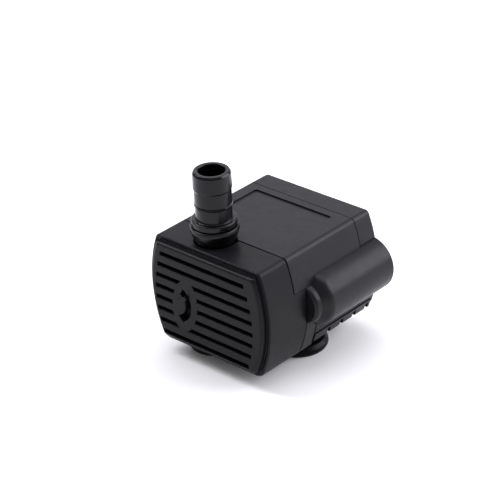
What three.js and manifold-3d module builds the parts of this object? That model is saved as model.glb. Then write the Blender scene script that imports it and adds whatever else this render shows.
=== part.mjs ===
// Fountain submersible pump: a bowed black box with a slotted inlet cover, a
// hose tail on top, a fat cable barrel on its right side and rubber feet.
// Millimetres, +Z up, the front (inlet) faces -Y, the barrel is on +X.
// The origin is the centre of the footprint, on the surface the pump stands on.

import * as THREE from 'three';
import { mergeVertices } from 'three/addons/utils/BufferGeometryUtils.js';
import Module from 'manifold-3d';

const wasm = await Module();
wasm.setup();

// ---------------------------------------------------------------- clearances
const gap = 0.3;              // between two pieces that touch
const runGap = 0.8;           // round the spinning rotor
const slip = 0.4;             // round pieces that turn or slide by hand

// ------------------------------------------------------------ body envelope
const bodyHeight = 39.5;      // front cover, top to bottom
const bodyDepth = 58.1;       // front panel to rear cover
const bodyHalfWidth = 26.65;  // at the widest level
const bodyCentreX = -0.45;    // middle of the body; x = 0 is near the panel's middle
const bowDrop = 18.7;         // widest level below the top
const bowRadius = 47.5;       // side walls bulge on this radius
const topEdgeRadius = 1.4;
const bottomEdgeRadius = 3.6;
const footHeight = 4.8;       // underside of the front cover above the floor

const bottomZ = footHeight;
const topZ = bottomZ + bodyHeight;
const bowZ = topZ - bowDrop;

// --------------------------------------------------------------- front cover
const coverWall = 1.6;
const plateThickness = 2.2;
const plateInset = 1.9;       // front panel outline inside the body outline
const plateEdge = 0.9;        // rounding of the panel's edge
const rimSetback = 1.4;       // cover rim behind the panel's face
const rimWidth = 0.7;         // cover rim round the shadow groove
const grooveFloorY = 2.5;     // depth of the shadow groove round the panel
const throatWall = 1.5;       // wall between the groove and the cover's room
const coverTopDepth = 14.6;   // seam on the top face
const coverSkirtDepth = 20.2; // seam on the sides, low down
const skirtDrop = 12.4;       // the seam steps back this far below the top

const slotRows = 8;
const slotFirstDrop = 5.7;
const slotPitch = 4.3;
const slotHeight = 1.65;
const slotCentreX = -1.7;
const slotFieldHalf = 21.7;
const slotFieldDrop = 21.5;
const slotFieldRadius = 42;
const slotReach = 3.4;        // how far back the slot cutters run

const padX = -10.2;           // plain oval round the flow regulator
const padDrop = 22.6;
const padHalfWidth = 5.6;
const padHalfHeight = 10.2;
const padTilt = -0.13;

// ------------------------------------------------- pump axis, rotor, chamber
const axisX = -14.6;
const axisDrop = 22.4;
const axisZ = topZ - axisDrop;

const arcInner = 4.75;        // C-shaped slot of the flow regulator
const arcOuter = 7.35;
const arcTop = rad(57);
const arcBottomOuter = rad(-65);
const arcBottomInner = rad(-76);

const leverAngle = rad(32);
const leverWidth = 1.5;
const leverProud = 1.0;
const regulatorRadius = 6.9;
const regulatorThickness = 1.4;
const pivotRadius = 1.3;
const pointerInner = 2.4;     // the lever's pointer starts here
const windowHub = 1.5;        // web left round the pivot
const windowFrom = rad(100);
const windowTo = rad(250);

const shaftRadius = 1.0;
const bushingRadius = 2.3;
const bushingLength = 3.6;
const washerThickness = 0.8;
const magnetRadius = 5.5;
const magnetLength = 14;
const impellerRadius = 7.0;
const impellerHeight = 4.6;
const impellerHub = 2.6;
const impellerCone = 3.0;
const impellerSleeve = 3.6;   // from the impeller back to the magnet
const bladeCount = 6;
const bladeHalf = 0.45;
const magnetClearance = 2.5;  // housing wall to magnet
const wellWall = 1.0;

const chamberRadius = 7.9;
const chamberWall = 1.3;
const chamberFrontY = 6.8;
const eyeRadius = 5.2;
const collarWall = 1.0;
const sealThickness = 1.0;

// ---------------------------------------------------------------- outlet
const outletX = -4.9;
const outletY = 11.1;
const nozzleHeight = 25.4;    // tip above the top face
const tailRadius = 6.5;       // hose tail over its ridges
const tailNeck = 6.15;
const tailBore = 4.5;
const ridgeLevels = [8.1, 13.4, 19.3];
const flangeRadius = 7.7;
const flangeTop = 8.1;
const flangeBottom = 6.0;
const socketTop = 5.7;
const socketRadius = 8.3;     // boss at its widest
const socketNeck = 7.0;       // boss where it leaves the top face
const spigotRadius = 5.9;
const spigotLength = 4.6;
const ringGroove = 0.75;      // depth of the seal ring's groove
const ringThickness = 0.6;
const ringRise = 1.6;         // seal ring above the spigot's end

// ----------------------------------------------------------- motor housing
const housingWall = 1.8;
const housingFloor = 1.2;
const frontWallY = coverSkirtDepth + gap;
const frontWall = 2.0;
const rearSeamY = 49.2;
const rearCoverWall = 2.0;
const recessLeft = -18.1;
const recessRight = 15.9;
const recessFrontY = 20.5;
const recessRearY = 46.1;
const recessDepth = 0.5;
const bandRearY = 26.2;       // full-depth band behind the cover's skirt
const bandGrooveTop = 15.0;
const grooveDepth = 0.5;
const grooveWidth = 0.6;

// side barrel
const barrelX = 23.1;
const barrelDrop = 19.4;
const barrelRadius = 9.95;
const barrelWall = 1.8;
const barrelNose = 7.3;       // radius of the flat front of the barrel
const barrelFrontY = 20.4;
const barrelNoseLength = 4.8;
const barrelRearEdge = 0.8;
const barrelZ = topZ - barrelDrop;
const glandRadius = 4.2;
const glandFlange = 1.2;      // lip of the gland beyond its neck
const glandProud = 2.2;       // behind the barrel's end
const glandInside = 3.5;      // behind the barrel's end wall
const cableRadius = 2.2;

// base tray
const trayTopDrop = 33.4;
const trayBottomDrop = 36.6;
const trayFloor = 1.4;
const trayProud = 0.3;
const trayWall = 1.3;
const trayRearY = 56.0;
const notchPitch = 6.7;
const notchWidth = 1.6;
const notchHeight = 1.8;
const trayTopZ = topZ - trayTopDrop;
const trayBottomZ = topZ - trayBottomDrop;

// feet
const footRadius = 10.3;
const footLip = 0.9;
const footNeck = 2.7;
const footShoulder = 3.3;     // level where the lip turns in
const footCupDepth = 2.6;     // hollow under the foot
const footCupRadius = 5.0;
const footCupEdge = 2.2;
const footBossRadius = 5.2;
const footPlaces = [
  ['foot_front_left', -11.1, 15.9],
  ['foot_right', 11.3, 32.2],
  ['foot_rear_left', -11.1, 48.0],
];

// stator
const coreFrontY = 27.4;
const coreThickness = 12.0;
const coreRight = 19.0;
const yokeWidth = 5.0;
const legInner = 3.7;         // legs above and below the axis
const legOuter = 7.7;
const shoeOuter = 10.3;
const shoeHalfWidth = 6.3;
const legStart = 8.6;         // coil side of the pole shoes, right of the axis
const bobbinWall = 0.7;
const bobbinFlange = 2.4;
const windingThickness = 1.8;
const leadRadius = 0.7;

// ------------------------------------------------------------------ helpers
function rad(degrees) {
  return THREE.MathUtils.degToRad(degrees);
}

// A closed mesh as a solid, with coincident vertices merged and faces outward.
function solid(geometry) {
  const bare = new THREE.BufferGeometry();
  bare.setAttribute('position', geometry.getAttribute('position'));
  bare.setIndex(geometry.getIndex());
  const merged = mergeVertices(bare, 1e-4);
  const position = merged.getAttribute('position');
  const index = merged.getIndex().array;
  const triangles = [];
  let volume = 0;
  const a = new THREE.Vector3();
  const b = new THREE.Vector3();
  const c = new THREE.Vector3();
  for (let i = 0; i < index.length; i += 3) {
    const [u, v, w] = [index[i], index[i + 1], index[i + 2]];
    if (u === v || v === w || w === u) continue;
    triangles.push(u, v, w);
    a.fromBufferAttribute(position, u);
    b.fromBufferAttribute(position, v);
    c.fromBufferAttribute(position, w);
    volume += a.dot(b.cross(c));
  }
  if (volume < 0) triangles.reverse();
  return new wasm.Manifold(new wasm.Mesh({
    numProp: 3,
    vertProperties: Float32Array.from(position.array),
    triVerts: Uint32Array.from(triangles),
  }));
}

function geometryOf(manifold) {
  const mesh = manifold.getMesh();
  const geometry = new THREE.BufferGeometry();
  geometry.setAttribute('position', new THREE.BufferAttribute(mesh.vertProperties, 3));
  geometry.setIndex(new THREE.BufferAttribute(mesh.triVerts, 1));
  geometry.computeVertexNormals();
  return geometry;
}

function box(x0, x1, y0, y1, z0, z1) {
  const geometry = new THREE.BoxGeometry(x1 - x0, y1 - y0, z1 - z0);
  geometry.translate((x0 + x1) / 2, (y0 + y1) / 2, (z0 + z1) / 2);
  return solid(geometry);
}

// A prism of an X-Z outline between two Y levels, with an optional edge bevel.
function prism(outline, y0, y1, bevel = 0, holes = []) {
  const shape = new THREE.Shape(outline);
  shape.holes = holes.map((points) => new THREE.Path(points));
  const geometry = new THREE.ExtrudeGeometry(shape, {
    depth: y1 - y0 - 2 * bevel,
    bevelEnabled: bevel > 0,
    bevelThickness: bevel,
    bevelSize: bevel,
    bevelSegments: 3,
    curveSegments: 12,
  });
  geometry.rotateX(Math.PI / 2);
  geometry.translate(0, y1 - bevel, 0);
  return solid(geometry);
}

// A turned solid about a line along Y; the profile lists [radius, y].
function turnY(profile, x, z, segments = 40) {
  const points = profile.map(([r, y]) => new THREE.Vector2(r, y));
  const geometry = new THREE.LatheGeometry(points, segments);
  geometry.translate(x, 0, z);
  return solid(geometry);
}

// A turned solid about a vertical line; the profile lists [radius, z].
function turnZ(profile, x, y, segments = 40) {
  const points = profile.map(([r, z]) => new THREE.Vector2(r, z));
  const geometry = new THREE.LatheGeometry(points, segments);
  geometry.rotateX(Math.PI / 2);
  geometry.translate(x, y, 0);
  return solid(geometry);
}

function rodY(radius, x, z, y0, y1, segments = 40) {
  return turnY([[0, y0], [radius, y0], [radius, y1], [0, y1]], x, z, segments);
}

function rodZ(radius, x, y, z0, z1, segments = 40) {
  return turnZ([[0, z0], [radius, z0], [radius, z1], [0, z1]], x, y, segments);
}

// A closed ring turned from a round section.
function ringProfile(radius, level, thickness, steps = 6) {
  const points = [];
  for (let i = 0; i <= steps; i += 1) {
    const turn = (2 * Math.PI * i) / steps;
    points.push([radius + Math.cos(turn) * thickness / 2, level + Math.sin(turn) * thickness / 2]);
  }
  points[steps] = points[0];
  return points;
}

function arc(cx, cz, radius, from, to, steps) {
  const points = [];
  for (let i = 0; i <= steps; i += 1) {
    const turn = from + ((to - from) * i) / steps;
    points.push(new THREE.Vector2(cx + radius * Math.cos(turn), cz + radius * Math.sin(turn)));
  }
  return points;
}

// The pump's bowed section, offset inwards. Flat top and bottom, side walls on
// a large arc, and a fillet in each corner that touches both.
function section(inset) {
  const wallCentre = bodyHalfWidth - bowRadius; // from the middle of the body
  const wallRadius = bowRadius - inset;
  const corner = (edge, level, side) => {
    const radius = Math.max(edge - inset, 0.4);
    const z = level - side * (inset + radius);
    const x = wallCentre + Math.sqrt((wallRadius - radius) ** 2 - (z - bowZ) ** 2);
    return { x, z, radius, turn: Math.atan2(z - bowZ, x - wallCentre) };
  };
  const low = corner(bottomEdgeRadius, bottomZ, -1);
  const high = corner(topEdgeRadius, topZ, 1);
  const right = [
    ...arc(low.x, low.z, low.radius, -Math.PI / 2, low.turn, 4),
    ...arc(wallCentre, bowZ, wallRadius, low.turn, high.turn, 12).slice(1, -1),
    ...arc(high.x, high.z, high.radius, high.turn, Math.PI / 2, 3),
  ];
  const left = right.map((p) => new THREE.Vector2(-p.x, p.y)).reverse();
  return [...right, ...left].map((p) => new THREE.Vector2(p.x + bodyCentreX, p.y));
}

// ------------------------------------------------------------ shared shapes
const far = 200;

// The boss of the outlet where it stands through the top face, with clearance.
function outletNotch(clearance) {
  const hole = rodZ(socketNeck + clearance, outletX, outletY, topZ - skirtDrop, topZ + gap);
  const back = box(
    outletX - socketNeck - clearance, outletX + socketNeck + clearance,
    outletY, coverSkirtDepth, topZ - skirtDrop, topZ + gap,
  );
  return { hole, back };
}

function footHole(x, y, z0, z1) {
  return rodZ(footNeck + gap, x, y, z0, z1, 24);
}

// ------------------------------------------------------------- front cover
function makeSlots() {
  const padTurn = (point) => new THREE.Vector2(
    padX + point.x - padTilt * point.y,
    topZ - padDrop + point.y,
  );
  const padOutline = [];
  for (let i = 0; i < 28; i += 1) {
    const turn = (2 * Math.PI * i) / 28;
    padOutline.push(padTurn({ x: padHalfWidth * Math.cos(turn), y: padHalfHeight * Math.sin(turn) }));
  }
  const pad = prism(padOutline, -gap - 1, slotReach + 1);
  let slots = null;
  for (let row = 0; row < slotRows; row += 1) {
    const drop = slotFirstDrop + row * slotPitch;
    const bow = (drop - slotFieldDrop) ** 2 / (2 * slotFieldRadius);
    const half = slotFieldHalf - bow;
    const z = topZ - drop;
    const slot = box(
      slotCentreX - half, slotCentreX + half, -1, slotReach,
      z - slotHeight / 2, z + slotHeight / 2,
    ).subtract(pad);
    slots = slots ? slots.add(slot) : slot;
  }
  return slots;
}

function makeArcSlot() {
  const outline = [
    ...arc(axisX, axisZ, arcOuter, arcBottomOuter, arcTop, 14),
    ...arc(axisX, axisZ, arcInner, arcTop, arcBottomInner, 12),
  ];
  return prism(outline, -1, slotReach);
}

function makeFrontCover() {
  const roomY = grooveFloorY + coverWall;
  const panel = prism(section(plateInset + plateEdge), 0, roomY, plateEdge);
  const skirt = prism(section(0), rimSetback, coverSkirtDepth);
  const groove = prism(section(rimWidth), 0, grooveFloorY);
  const topCut = box(-far, far, coverTopDepth, far, topZ - skirtDrop, far);
  const throat = prism(section(plateInset + throatWall), plateThickness, roomY);
  const inside = prism(section(coverWall), roomY - 0.1, far);
  const pivot = rodY(
    pivotRadius, axisX, axisZ, plateThickness - 0.5,
    plateThickness + slip + regulatorThickness + 0.3, 20,
  );
  const notch = outletNotch(slip);
  const [, footX, footY] = footPlaces[0];
  return skirt
    .subtract(groove)
    .add(panel)
    .subtract(topCut)
    .subtract(throat)
    .subtract(inside)
    .subtract(makeSlots())
    .subtract(makeArcSlot())
    .add(pivot)
    .subtract(notch.hole)
    .subtract(notch.back)
    .subtract(footHole(footX, footY, 0, bottomZ + coverWall + 1));
}

// ----------------------------------------------------------- flow regulator
function makeFlowRegulator() {
  const y0 = plateThickness + slip;
  const y1 = y0 + regulatorThickness;
  const stemInner = arcInner + slip;
  const stemOuter = arcOuter - slip;
  const disc = rodY(regulatorRadius, axisX, axisZ, y0, y1);
  const bore = rodY(pivotRadius + gap, axisX, axisZ, 0, far, 20);
  const window = prism([
    ...arc(axisX, axisZ, eyeRadius, windowFrom, windowTo, 10),
    ...arc(axisX, axisZ, pivotRadius + windowHub, windowTo, windowFrom, 8),
  ], 0, far);
  const lever = (r0, r1, from, to) => {
    const along = new THREE.Vector2(Math.cos(leverAngle), Math.sin(leverAngle));
    const across = new THREE.Vector2(-along.y, along.x).multiplyScalar(leverWidth / 2);
    const corner = (r, side) => new THREE.Vector2(axisX, axisZ)
      .addScaledVector(along, r).addScaledVector(across, side);
    return prism([corner(r0, -1), corner(r1, -1), corner(r1, 1), corner(r0, 1)], from, to);
  };
  const stem = lever(stemInner, stemOuter, -leverProud, y0 + 0.3);
  const pointer = lever(pointerInner, stemOuter, -leverProud, -gap);
  return disc.subtract(bore).subtract(window).add(stem).add(pointer);
}

// ------------------------------------------------------------ outlet nozzle
function makeOutletNozzle() {
  const z = (level) => topZ + level;
  const [low, middle, high] = ridgeLevels;
  const spigotEnd = socketTop - spigotLength;
  const ringLevel = spigotEnd + ringRise;
  const grooveHalf = ringThickness / 2 + gap;
  const profile = [
    [tailBore, z(spigotEnd)],
    [spigotRadius, z(spigotEnd)],
    [spigotRadius, z(ringLevel - grooveHalf)],
    [spigotRadius - ringGroove, z(ringLevel - grooveHalf)],
    [spigotRadius - ringGroove, z(ringLevel + grooveHalf)],
    [spigotRadius, z(ringLevel + grooveHalf)],
    [spigotRadius, z(flangeBottom)],
    [flangeRadius, z(flangeBottom)],
    [flangeRadius, z(flangeTop - 0.4)],
    [flangeRadius - 0.4, z(flangeTop)],
    [tailNeck, z(low)],
    [tailNeck, z(middle - 0.4)],
    [tailRadius, z(middle)],
    [tailNeck, z(high - 0.4)],
    [tailRadius, z(high)],
    [tailNeck, z(nozzleHeight - 0.6)],
    [tailNeck - 0.5, z(nozzleHeight)],
    [tailBore, z(nozzleHeight)],
    [tailBore, z(spigotEnd)],
  ];
  return turnZ(profile, outletX, outletY, 36);
}

function makeNozzleRing() {
  const level = topZ + socketTop - spigotLength + ringRise;
  const radius = spigotRadius + (gap - ringGroove) / 2;
  return turnZ(ringProfile(radius, level, ringThickness), outletX, outletY, 24);
}

// ------------------------------------------------------------ volute cover
function makeVoluteCover() {
  const rearY = frontWallY - sealThickness - 0.2;
  const outer = chamberRadius + chamberWall;
  const z = (level) => topZ + level;
  const drum = rodY(outer, axisX, axisZ, chamberFrontY, rearY, 48);
  const collar = rodY(
    eyeRadius + collarWall, axisX, axisZ,
    plateThickness + 2 * slip + regulatorThickness, chamberFrontY + 0.5,
  );
  const riser = turnZ([
    [0, axisZ - 3],
    [socketNeck - 0.6, axisZ - 3],
    [socketNeck, axisZ],
    [socketNeck, topZ],
    [socketRadius, z(socketTop - 1.3)],
    [socketRadius - 0.3, z(socketTop)],
    [0, z(socketTop)],
  ], outletX, outletY, 48);
  const chamber = rodY(chamberRadius, axisX, axisZ, chamberFrontY + chamberWall, far, 48);
  const bore = rodZ(tailBore, outletX, outletY, axisZ, far);
  const socket = rodZ(spigotRadius + gap, outletX, outletY, z(socketTop - spigotLength - gap), far);
  const hubRadius = bushingRadius + gap + 0.8;
  const eye = rodY(eyeRadius, axisX, axisZ, 0, chamberFrontY + chamberWall + 0.5);
  const hub = rodY(hubRadius, axisX, axisZ, chamberFrontY - 1.2, chamberFrontY + chamberWall, 24);
  const seat = rodY(
    bushingRadius + gap, axisX, axisZ, chamberFrontY - 0.6,
    chamberFrontY + bushingLength + 2, 24,
  );
  let spider = hub;
  for (let i = 0; i < 3; i += 1) {
    const turn = rad(90 + 120 * i);
    const along = new THREE.Vector2(Math.cos(turn), Math.sin(turn));
    const across = new THREE.Vector2(-along.y, along.x).multiplyScalar(0.6);
    const corner = (r, side) => new THREE.Vector2(axisX, axisZ)
      .addScaledVector(along, r).addScaledVector(across, side);
    const outline = [
      corner(1, -1), corner(eyeRadius + 0.5, -1), corner(eyeRadius + 0.5, 1), corner(1, 1),
    ];
    spider = spider.add(prism(outline, chamberFrontY - 0.8, chamberFrontY + chamberWall));
  }
  return drum
    .add(riser)
    .add(collar)
    .subtract(chamber)
    .subtract(bore)
    .subtract(socket)
    .subtract(eye)
    .add(spider)
    .subtract(seat);
}

function makeVoluteSeal() {
  const level = frontWallY - sealThickness / 2 - 0.1;
  const radius = chamberRadius + chamberWall / 2;
  return turnY(ringProfile(radius, level, sealThickness - 0.4), axisX, axisZ, 28);
}

// ------------------------------------------------------------------- rotor
const frontBushingY = chamberFrontY - 0.3;
const frontWasherY = frontBushingY + bushingLength + gap;
const impellerY = frontWasherY + washerThickness + gap;
const magnetY = frontWallY + frontWall + magnetClearance;
const rearWasherY = magnetY + magnetLength + gap;
const rearBushingY = rearWasherY + washerThickness + gap;
const wellEndY = rearBushingY + bushingLength + gap;

function makeImpeller() {
  const plateY = impellerY + impellerHeight;
  const profile = [
    [shaftRadius + gap, impellerY],
    [impellerHub, impellerY],
    [impellerCone, plateY - 1.2],
    [impellerRadius, plateY - 1.0],
    [impellerRadius, plateY],
    [impellerSleeve, plateY + 0.4],
    [impellerSleeve, magnetY - gap],
    [shaftRadius + gap, magnetY - gap],
    [shaftRadius + gap, impellerY],
  ];
  let wheel = turnY(profile, axisX, axisZ, 36);
  for (let i = 0; i < bladeCount; i += 1) {
    const turn = (2 * Math.PI * i) / bladeCount;
    const along = new THREE.Vector2(Math.cos(turn), Math.sin(turn));
    const across = new THREE.Vector2(-along.y, along.x).multiplyScalar(bladeHalf);
    const corner = (r, side) => new THREE.Vector2(axisX, axisZ)
      .addScaledVector(along, r).addScaledVector(across, side);
    const outline = [corner(2.2, -1), corner(impellerRadius - 0.2, -1),
      corner(impellerRadius - 0.2, 1), corner(2.2, 1)];
    wheel = wheel.add(prism(outline, impellerY + 0.4, plateY - 0.5));
  }
  return wheel;
}

function makeRotorMagnet() {
  const inner = shaftRadius + gap;
  return turnY([
    [inner, magnetY],
    [magnetRadius - 0.4, magnetY],
    [magnetRadius, magnetY + 0.4],
    [magnetRadius, magnetY + magnetLength - 0.4],
    [magnetRadius - 0.4, magnetY + magnetLength],
    [inner, magnetY + magnetLength],
    [inner, magnetY],
  ], axisX, axisZ, 36);
}

function makeShaft() {
  return rodY(shaftRadius, axisX, axisZ, frontBushingY + 0.9, rearBushingY + bushingLength - 0.9, 20);
}

// A rubber cup that holds one end of the shaft; its closed end is at y0.
function makeBushing(y0, y1) {
  const inward = Math.sign(y1 - y0);
  return turnY([
    [0, y0],
    [bushingRadius, y0],
    [bushingRadius, y1],
    [shaftRadius + gap / 2, y1],
    [shaftRadius + gap / 2, y0 + inward * 0.6],
    [0, y0 + inward * 0.6],
  ], axisX, axisZ, 24);
}

function makeWasher(y) {
  const inner = shaftRadius + gap / 2;
  return turnY([
    [inner, y],
    [bushingRadius, y],
    [bushingRadius, y + washerThickness],
    [inner, y + washerThickness],
    [inner, y],
  ], axisX, axisZ, 24);
}

// ------------------------------------------------------------ motor housing
function makeMotorHousing() {
  const wellInner = magnetRadius + runGap;
  const frontY = coverTopDepth + gap;
  const shell = prism(section(0), frontY, rearSeamY);
  const skirtCut = box(-far, far, 0, frontWallY, -far, topZ - skirtDrop + gap);
  const hood = prism(section(housingWall), 0, frontWallY);
  const cavity = prism(section(housingWall), frontWallY + frontWall, rearSeamY);
  const floorZ = trayBottomZ + trayFloor + gap;
  const underCut = box(-far, far, bandRearY, far, -far, floorZ);
  const cavityFloor = box(-far, far, frontWallY, far, -far, floorZ + housingFloor);
  const rimCut = prism(section(-1), bandRearY, far)
    .subtract(prism(section(trayWall + gap), 0, 2 * far))
    .intersect(box(-far, far, 0, far, -far, trayTopZ + gap));
  const bandGroove = prism(section(-1), bandRearY - grooveWidth, bandRearY)
    .subtract(prism(section(grooveDepth), 0, far))
    .intersect(box(-far, far, 0, far, trayBottomZ, bandGrooveTop));
  const recess = box(
    recessLeft, recessRight, recessFrontY, recessRearY, topZ - recessDepth, far,
  );
  const nose = barrelFrontY + barrelNoseLength;
  const barrelLine = [
    [0, barrelFrontY],
    [barrelNose - 0.5, barrelFrontY],
    [barrelNose, barrelFrontY + 0.3],
    [barrelNose + 0.1, barrelFrontY + 1.5],
    [barrelRadius - 0.3, nose - 0.3],
    [barrelRadius, nose + 0.3],
    [barrelRadius, bodyDepth - barrelRearEdge],
    [barrelRadius - barrelRearEdge, bodyDepth],
    [0, bodyDepth],
  ];
  const barrel = turnY(barrelLine, barrelX, barrelZ, 56);
  const barrelBore = turnY([
    [0, nose + barrelWall - 1.5],
    [barrelNose, nose + barrelWall - 1.5],
    [barrelRadius - barrelWall, nose + barrelWall + 1],
    [barrelRadius - barrelWall, bodyDepth - barrelWall],
    [0, bodyDepth - barrelWall],
  ], barrelX, barrelZ);
  const glandHole = rodY(glandRadius + gap, barrelX, barrelZ, bodyDepth - 5, far, 28);
  const well = rodY(wellInner + wellWall, axisX, axisZ, frontWallY, wellEndY + wellWall);
  const wellBore = rodY(wellInner, axisX, axisZ, 0, rearWasherY + gap);
  const bushingSeat = rodY(bushingRadius + gap, axisX, axisZ, 0, wellEndY, 24);
  const notch = outletNotch(slip);
  return shell
    .subtract(skirtCut)
    .subtract(hood)
    .subtract(underCut)
    .subtract(rimCut)
    .subtract(bandGroove)
    .subtract(recess)
    .add(barrel)
    .subtract(cavity.subtract(cavityFloor))
    .subtract(barrelBore)
    .subtract(glandHole)
    .add(well)
    .subtract(wellBore)
    .subtract(bushingSeat)
    .subtract(notch.hole);
}

function makeRearCover() {
  const outer = prism(section(topEdgeRadius), rearSeamY + gap - topEdgeRadius, bodyDepth, topEdgeRadius);
  const front = box(-far, far, -far, rearSeamY + gap, -far, far);
  const inside = prism(section(topEdgeRadius + housingWall), 0, bodyDepth - rearCoverWall);
  const barrelRoom = rodY(barrelRadius + gap, barrelX, barrelZ, 0, far, 56);
  const trayRoom = box(-far, far, 0, far, -far, trayBottomZ + trayFloor + gap);
  const rimRoom = prism(section(-1), 0, trayRearY + gap)
    .subtract(prism(section(trayWall + gap), -1, 2 * far))
    .intersect(box(-far, far, 0, far, -far, trayTopZ + gap));
  return outer
    .subtract(front)
    .subtract(inside)
    .subtract(barrelRoom)
    .subtract(trayRoom)
    .subtract(rimRoom);
}

// --------------------------------------------------------------- base tray
function makeBaseTray() {
  const y0 = bandRearY + gap;
  const wrap = prism(section(-trayProud), y0, trayRearY)
    .intersect(box(-far, far, 0, far, trayBottomZ, trayTopZ));
  const room = prism(section(trayWall), 0, far)
    .intersect(box(-far, far, 0, far, trayBottomZ + trayFloor, far));
  let tray = wrap.subtract(room);
  for (const [name, x, y] of footPlaces.slice(1)) {
    tray = tray.add(rodZ(footBossRadius, x, y, bottomZ, trayBottomZ + 0.5, 28));
    tray = tray.subtract(footHole(x, y, 0, trayBottomZ + trayFloor + 1));
  }
  const notchZ = trayBottomZ + notchHeight;
  const notches = Math.floor((trayRearY - y0 - notchWidth) / notchPitch);
  const skidX = bodyHalfWidth * 0.72;
  for (let i = 0; i < notches; i += 1) {
    const y = y0 + notchPitch * (i + 1);
    const cut = box(-far, far, y, y + notchWidth, trayBottomZ - 1, notchZ)
      .subtract(box(bodyCentreX - skidX, bodyCentreX + skidX, 0, far, -far, far));
    tray = tray.subtract(cut);
  }
  return tray;
}

// -------------------------------------------------------------------- feet
function makeFoot(x, y, plugTop) {
  return turnZ([
    [0, footCupDepth],
    [footCupRadius, footCupEdge],
    [footRadius - footLip - 0.6, 0],
    [footRadius - 0.4, 0],
    [footRadius, footLip],
    [footRadius - 0.1, footCupEdge],
    [footRadius - 1.3, footShoulder],
    [footBossRadius, bottomZ - gap],
    [footNeck, bottomZ - gap],
    [footNeck, plugTop],
    [0, plugTop],
  ], x, y, 30);
}

// ------------------------------------------------------------------ stator
function makeStatorCore() {
  const y0 = coreFrontY;
  const y1 = y0 + coreThickness;
  const legX = axisX + legStart;
  const bore = rodY(magnetRadius + runGap + wellWall + gap, axisX, axisZ, 0, far, 48);
  const between = box(
    -far, coreRight - yokeWidth, 0, far, axisZ - legInner, axisZ + legInner,
  );
  const shoe = box(
    axisX - shoeHalfWidth, legX, y0, y1, axisZ - shoeOuter, axisZ + shoeOuter,
  );
  const legs = box(legX - 1, coreRight, y0, y1, axisZ - legOuter, axisZ + legOuter);
  return shoe.add(legs).subtract(between).subtract(bore);
}

// Each coil sits on one leg of the core: side is +1 above the axis, -1 below.
function legBox(side, grow, x0, x1) {
  const inner = legInner - grow;
  const outer = legOuter + grow;
  const z0 = axisZ + (side > 0 ? inner : -outer);
  return box(
    x0, x1, coreFrontY - grow, coreFrontY + coreThickness + grow, z0, z0 + outer - inner,
  );
}

const coilLeft = axisX + legStart + gap;
const coilRight = coreRight - yokeWidth - gap;
const leadY = coreFrontY + coreThickness + bobbinFlange + 2 * gap + leadRadius + 0.3;

function makeBobbin(side) {
  const tube = legBox(side, gap + bobbinWall, coilLeft, coilRight);
  const left = legBox(side, gap + bobbinFlange, coilLeft, coilLeft + bobbinWall);
  const right = legBox(side, gap + bobbinFlange, coilRight - bobbinWall, coilRight);
  const hole = legBox(side, gap, coilLeft - 1, coilRight + 1);
  return tube.add(left).add(right).subtract(hole);
}

function makeCoil(side) {
  const x0 = coilLeft + bobbinWall + gap;
  const x1 = coilRight - bobbinWall - gap;
  const inner = gap + bobbinWall + gap;
  const hole = legBox(side, inner, x0 - 1, x1 + 1);
  return legBox(side, inner + windingThickness - gap, x0, x1).subtract(hole);
}

function makePottingResin() {
  const y0 = leadY + leadRadius + gap;
  const y1 = rearSeamY - 1.0;
  const wellRoom = rodY(magnetRadius + runGap + wellWall + gap, axisX, axisZ, 0, far, 40);
  const barrelRoom = rodY(barrelRadius - barrelWall, barrelX, barrelZ, 0, far, 40);
  const floorZ = trayBottomZ + trayFloor + gap + housingFloor + gap;
  const floorCut = box(-far, far, 0, far, -far, floorZ);
  return prism(section(housingWall + gap), y0, y1)
    .subtract(floorCut)
    .subtract(wellRoom)
    .subtract(barrelRoom);
}

// ------------------------------------------------------------- cable entry
function makeCableGland() {
  const wallY = bodyDepth - barrelWall;
  const lip = glandRadius + glandFlange;
  return turnY([
    [cableRadius, wallY - glandInside],
    [lip, wallY - glandInside],
    [lip, wallY - gap],
    [glandRadius, wallY - gap],
    [glandRadius, bodyDepth + gap],
    [lip, bodyDepth + gap],
    [lip - 0.5, bodyDepth + glandProud - 0.4],
    [cableRadius + 1.2, bodyDepth + glandProud],
    [cableRadius, bodyDepth + glandProud],
    [cableRadius, wallY - glandInside],
  ], barrelX, barrelZ, 24);
}

// A lead from the gland, forward inside the barrel and across to its coil.
function makeLead(side) {
  const glandEnd = bodyDepth - barrelWall - 4.2;
  const z = barrelZ + side * 1.2;
  const coilZ = axisZ + side * (legInner + legOuter) / 2;
  const route = new THREE.CatmullRomCurve3([
    new THREE.Vector3(barrelX, glandEnd, z),
    new THREE.Vector3(barrelX - 0.5, glandEnd - 4, z),
    new THREE.Vector3(barrelX - 3.5, leadY + 0.4, (z + coilZ) / 2),
    new THREE.Vector3(coilRight, leadY, coilZ),
    new THREE.Vector3(coilRight - 4, leadY, coilZ),
  ]);
  const shape = new THREE.Shape();
  shape.absarc(0, 0, leadRadius, 0, 2 * Math.PI);
  const geometry = new THREE.ExtrudeGeometry(shape, {
    steps: 16,
    curveSegments: 3,
    extrudePath: route,
  });
  return solid(geometry);
}

// ---------------------------------------------------------------- materials
const finishes = {
  blackPlastic: [0x2b2c2e, 0.55, 0],
  glossBlack: [0x1b1b1d, 0.35, 0],
  rubber: [0x141416, 0.45, 0],
  ceramic: [0xe9e6de, 0.25, 0],
  magnet: [0x3a3b3f, 0.4, 0.6],
  impellerWhite: [0xd7d8d6, 0.5, 0],
  steel: [0x8d9094, 0.45, 0.9],
  copper: [0xb06a35, 0.35, 0.9],
  nylon: [0xe3ddcb, 0.55, 0],
  resin: [0x1a1a1c, 0.3, 0],
  leadBrown: [0x6b4327, 0.5, 0],
  leadBlue: [0x2b4f8f, 0.5, 0],
};

function material([color, roughness, metalness]) {
  return new THREE.MeshStandardMaterial({ color, roughness, metalness });
}

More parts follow.
